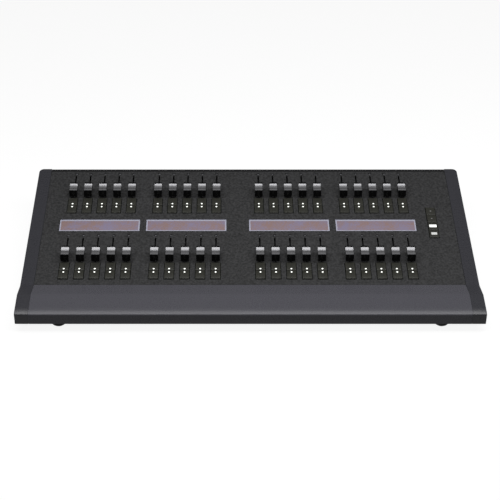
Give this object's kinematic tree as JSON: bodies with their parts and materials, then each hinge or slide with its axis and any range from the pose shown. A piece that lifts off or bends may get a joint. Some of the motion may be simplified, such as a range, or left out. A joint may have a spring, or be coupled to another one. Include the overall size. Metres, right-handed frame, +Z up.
{
  "type": "lighting control desk",
  "caption": "Wide sloping lighting fader desk with banks of slide faders, paired keys, strip displays, a palm rest, end cheeks and rubber feet.",
  "frame": {"origin": "middle of the bounding box's footprint, on the surface that the feet stand on", "axes": "+X across the desk to the right as its operator sees it, +Y to the rear, +Z up"},
  "size_m": [0.71, 0.361, 0.0793],
  "materials": {
    "pan_steel": "satin",
    "rear_steel": "satin",
    "rest_aluminium": "satin",
    "cheek_plastic": "satin",
    "faceplate_paint": "matt, fine texture",
    "window_glass": "gloss",
    "display": "gloss",
    "inner_steel": "plain",
    "board": "matt",
    "inner_plastic": "matt",
    "connector_metal": "bright",
    "foot_rubber": "matt",
    "screw_steel": "black zinc",
    "key_plastic": "satin",
    "fader_plastic": "satin"
  },
  "bodies": {
    "case": {"base_pan": "pan_steel", "palm_rest": "rest_aluminium", "left_end_cheek": "cheek_plastic", "right_end_cheek": "cheek_plastic", "rear_panel": "rear_steel", "faceplate": "faceplate_paint", "display_windows": "window_glass", "display_modules": "display", "fader_bodies": "inner_steel", "control_boards": "board", "key_switches": "inner_plastic", "rear_connectors": "connector_metal", "feet": "foot_rubber", "screws": "screw_steel"},
    "bump_keys_upper": {"bump_keys_upper": "key_plastic"},
    "bump_keys_lower": {"bump_keys_lower": "key_plastic"},
    "fader_01": {"fader_01": "fader_plastic"},
    "fader_02": {"fader_02": "fader_plastic"},
    "fader_03": {"fader_03": "fader_plastic"},
    "fader_04": {"fader_04": "fader_plastic"},
    "fader_05": {"fader_05": "fader_plastic"},
    "fader_06": {"fader_06": "fader_plastic"},
    "fader_07": {"fader_07": "fader_plastic"},
    "fader_08": {"fader_08": "fader_plastic"},
    "fader_09": {"fader_09": "fader_plastic"},
    "fader_10": {"fader_10": "fader_plastic"},
    "fader_11": {"fader_11": "fader_plastic"},
    "fader_12": {"fader_12": "fader_plastic"},
    "fader_13": {"fader_13": "fader_plastic"},
    "fader_14": {"fader_14": "fader_plastic"},
    "fader_15": {"fader_15": "fader_plastic"},
    "fader_16": {"fader_16": "fader_plastic"},
    "fader_17": {"fader_17": "fader_plastic"},
    "fader_18": {"fader_18": "fader_plastic"},
    "fader_19": {"fader_19": "fader_plastic"},
    "fader_20": {"fader_20": "fader_plastic"},
    "fader_21": {"fader_21": "fader_plastic"},
    "fader_22": {"fader_22": "fader_plastic"},
    "fader_23": {"fader_23": "fader_plastic"},
    "fader_24": {"fader_24": "fader_plastic"},
    "fader_25": {"fader_25": "fader_plastic"},
    "fader_26": {"fader_26": "fader_plastic"},
    "fader_27": {"fader_27": "fader_plastic"},
    "fader_28": {"fader_28": "fader_plastic"},
    "fader_29": {"fader_29": "fader_plastic"},
    "fader_30": {"fader_30": "fader_plastic"},
    "fader_31": {"fader_31": "fader_plastic"},
    "fader_32": {"fader_32": "fader_plastic"},
    "fader_33": {"fader_33": "fader_plastic"},
    "fader_34": {"fader_34": "fader_plastic"},
    "fader_35": {"fader_35": "fader_plastic"},
    "fader_36": {"fader_36": "fader_plastic"},
    "fader_37": {"fader_37": "fader_plastic"},
    "fader_38": {"fader_38": "fader_plastic"},
    "fader_39": {"fader_39": "fader_plastic"},
    "fader_40": {"fader_40": "fader_plastic"},
    "page_key_1": {"page_key_1": "key_plastic"},
    "page_key_2": {"page_key_2": "key_plastic"},
    "page_key_3": {"page_key_3": "key_plastic"},
    "page_key_4": {"page_key_4": "key_plastic"}
  },
  "joints": [
    {"name": "fader_01_slide", "type": "slide", "parent": "case", "child": "fader_01", "axis": [0, 0.9903, 0.1392], "range_m": [0, 0.045]},
    {"name": "fader_02_slide", "type": "slide", "parent": "case", "child": "fader_02", "axis": [0, 0.9903, 0.1392], "range_m": [0, 0.045]},
    {"name": "fader_03_slide", "type": "slide", "parent": "case", "child": "fader_03", "axis": [0, 0.9903, 0.1392], "range_m": [0, 0.045]},
    {"name": "fader_04_slide", "type": "slide", "parent": "case", "child": "fader_04", "axis": [0, 0.9903, 0.1392], "range_m": [0, 0.045]},
    {"name": "fader_05_slide", "type": "slide", "parent": "case", "child": "fader_05", "axis": [0, 0.9903, 0.1392], "range_m": [0, 0.045]},
    {"name": "fader_06_slide", "type": "slide", "parent": "case", "child": "fader_06", "axis": [0, 0.9903, 0.1392], "range_m": [0, 0.045]},
    {"name": "fader_07_slide", "type": "slide", "parent": "case", "child": "fader_07", "axis": [0, 0.9903, 0.1392], "range_m": [0, 0.045]},
    {"name": "fader_08_slide", "type": "slide", "parent": "case", "child": "fader_08", "axis": [0, 0.9903, 0.1392], "range_m": [0, 0.045]},
    {"name": "fader_09_slide", "type": "slide", "parent": "case", "child": "fader_09", "axis": [0, 0.9903, 0.1392], "range_m": [0, 0.045]},
    {"name": "fader_10_slide", "type": "slide", "parent": "case", "child": "fader_10", "axis": [0, 0.9903, 0.1392], "range_m": [0, 0.045]},
    {"name": "fader_11_slide", "type": "slide", "parent": "case", "child": "fader_11", "axis": [0, 0.9903, 0.1392], "range_m": [0, 0.045]},
    {"name": "fader_12_slide", "type": "slide", "parent": "case", "child": "fader_12", "axis": [0, 0.9903, 0.1392], "range_m": [0, 0.045]},
    {"name": "fader_13_slide", "type": "slide", "parent": "case", "child": "fader_13", "axis": [0, 0.9903, 0.1392], "range_m": [0, 0.045]},
    {"name": "fader_14_slide", "type": "slide", "parent": "case", "child": "fader_14", "axis": [0, 0.9903, 0.1392], "range_m": [0, 0.045]},
    {"name": "fader_15_slide", "type": "slide", "parent": "case", "child": "fader_15", "axis": [0, 0.9903, 0.1392], "range_m": [0, 0.045]},
    {"name": "fader_16_slide", "type": "slide", "parent": "case", "child": "fader_16", "axis": [0, 0.9903, 0.1392], "range_m": [0, 0.045]},
    {"name": "fader_17_slide", "type": "slide", "parent": "case", "child": "fader_17", "axis": [0, 0.9903, 0.1392], "range_m": [0, 0.045]},
    {"name": "fader_18_slide", "type": "slide", "parent": "case", "child": "fader_18", "axis": [0, 0.9903, 0.1392], "range_m": [0, 0.045]},
    {"name": "fader_19_slide", "type": "slide", "parent": "case", "child": "fader_19", "axis": [0, 0.9903, 0.1392], "range_m": [0, 0.045]},
    {"name": "fader_20_slide", "type": "slide", "parent": "case", "child": "fader_20", "axis": [0, 0.9903, 0.1392], "range_m": [0, 0.045]},
    {"name": "fader_21_slide", "type": "slide", "parent": "case", "child": "fader_21", "axis": [0, 0.9903, 0.1392], "range_m": [0, 0.045]},
    {"name": "fader_22_slide", "type": "slide", "parent": "case", "child": "fader_22", "axis": [0, 0.9903, 0.1392], "range_m": [0, 0.045]},
    {"name": "fader_23_slide", "type": "slide", "parent": "case", "child": "fader_23", "axis": [0, 0.9903, 0.1392], "range_m": [0, 0.045]},
    {"name": "fader_24_slide", "type": "slide", "parent": "case", "child": "fader_24", "axis": [0, 0.9903, 0.1392], "range_m": [0, 0.045]},
    {"name": "fader_25_slide", "type": "slide", "parent": "case", "child": "fader_25", "axis": [0, 0.9903, 0.1392], "range_m": [0, 0.045]},
    {"name": "fader_26_slide", "type": "slide", "parent": "case", "child": "fader_26", "axis": [0, 0.9903, 0.1392], "range_m": [0, 0.045]},
    {"name": "fader_27_slide", "type": "slide", "parent": "case", "child": "fader_27", "axis": [0, 0.9903, 0.1392], "range_m": [0, 0.045]},
    {"name": "fader_28_slide", "type": "slide", "parent": "case", "child": "fader_28", "axis": [0, 0.9903, 0.1392], "range_m": [0, 0.045]},
    {"name": "fader_29_slide", "type": "slide", "parent": "case", "child": "fader_29", "axis": [0, 0.9903, 0.1392], "range_m": [0, 0.045]},
    {"name": "fader_30_slide", "type": "slide", "parent": "case", "child": "fader_30", "axis": [0, 0.9903, 0.1392], "range_m": [0, 0.045]},
    {"name": "fader_31_slide", "type": "slide", "parent": "case", "child": "fader_31", "axis": [0, 0.9903, 0.1392], "range_m": [0, 0.045]},
    {"name": "fader_32_slide", "type": "slide", "parent": "case", "child": "fader_32", "axis": [0, 0.9903, 0.1392], "range_m": [0, 0.045]},
    {"name": "fader_33_slide", "type": "slide", "parent": "case", "child": "fader_33", "axis": [0, 0.9903, 0.1392], "range_m": [0, 0.045]},
    {"name": "fader_34_slide", "type": "slide", "parent": "case", "child": "fader_34", "axis": [0, 0.9903, 0.1392], "range_m": [0, 0.045]},
    {"name": "fader_35_slide", "type": "slide", "parent": "case", "child": "fader_35", "axis": [0, 0.9903, 0.1392], "range_m": [0, 0.045]},
    {"name": "fader_36_slide", "type": "slide", "parent": "case", "child": "fader_36", "axis": [0, 0.9903, 0.1392], "range_m": [0, 0.045]},
    {"name": "fader_37_slide", "type": "slide", "parent": "case", "child": "fader_37", "axis": [0, 0.9903, 0.1392], "range_m": [0, 0.045]},
    {"name": "fader_38_slide", "type": "slide", "parent": "case", "child": "fader_38", "axis": [0, 0.9903, 0.1392], "range_m": [0, 0.045]},
    {"name": "fader_39_slide", "type": "slide", "parent": "case", "child": "fader_39", "axis": [0, 0.9903, 0.1392], "range_m": [0, 0.045]},
    {"name": "fader_40_slide", "type": "slide", "parent": "case", "child": "fader_40", "axis": [0, 0.9903, 0.1392], "range_m": [0, 0.045]},
    {"name": "bump_keys_upper_press", "type": "slide", "parent": "case", "child": "bump_keys_upper", "axis": [0, 0.1392, -0.9903], "range_m": [0, 0.0015], "stiffness_N_per_m": 4000, "springref_m": -0.0005},
    {"name": "bump_keys_lower_press", "type": "slide", "parent": "case", "child": "bump_keys_lower", "axis": [0, 0.1392, -0.9903], "range_m": [0, 0.0015], "stiffness_N_per_m": 4000, "springref_m": -0.0005},
    {"name": "page_key_1_press", "type": "slide", "parent": "case", "child": "page_key_1", "axis": [0, 0.1392, -0.9903], "range_m": [0, 0.0015], "stiffness_N_per_m": 600, "springref_m": -0.0005},
    {"name": "page_key_2_press", "type": "slide", "parent": "case", "child": "page_key_2", "axis": [0, 0.1392, -0.9903], "range_m": [0, 0.0015], "stiffness_N_per_m": 600, "springref_m": -0.0005},
    {"name": "page_key_3_press", "type": "slide", "parent": "case", "child": "page_key_3", "axis": [0, 0.1392, -0.9903], "range_m": [0, 0.0015], "stiffness_N_per_m": 600, "springref_m": -0.0005},
    {"name": "page_key_4_press", "type": "slide", "parent": "case", "child": "page_key_4", "axis": [0, 0.1392, -0.9903], "range_m": [0, 0.0015], "stiffness_N_per_m": 600, "springref_m": -0.0005}
  ]
}
